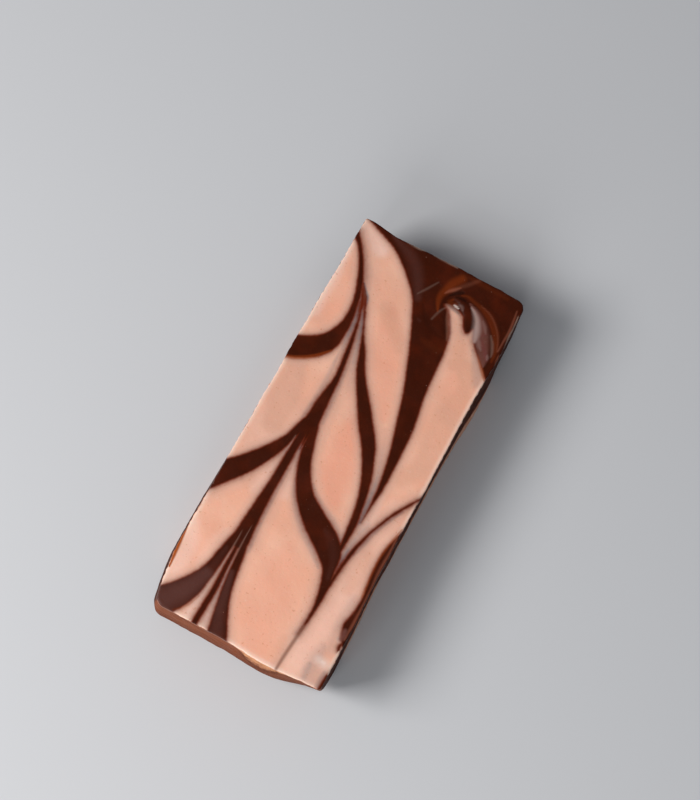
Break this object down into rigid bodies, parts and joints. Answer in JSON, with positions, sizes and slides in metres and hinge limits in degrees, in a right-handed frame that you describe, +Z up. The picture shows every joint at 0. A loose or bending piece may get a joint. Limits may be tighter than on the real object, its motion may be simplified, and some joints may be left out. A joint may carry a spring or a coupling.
{
  "type": "chocolate fudge slice",
  "caption": "Hand-cut slice of layered chocolate fudge: pink base layer, thick chocolate body and a thin pink topping marbled with dark chocolate.",
  "frame": {"origin": "middle of the flat underside, on the surface the slice lies on", "axes": "+Y along the slice towards its far end, where the dark whorl is; +Z up through the marbled top face; +X to the right"},
  "size_m": [0.062, 0.1403, 0.025],
  "materials": {
    "marbled_topping": "smooth set fudge with a soft sheen, peach pink feathered with dark chocolate",
    "chocolate_body": "knife-cut chocolate fudge, matte, with fine drag marks and pits",
    "pink_base_layer": "knife-cut pink fudge, matte, blending to orange brown under the chocolate"
  },
  "bodies": {
    "root": {"marbled_topping": "marbled_topping", "chocolate_body": "chocolate_body", "pink_base_layer": "pink_base_layer"}
  },
  "joints": []
}
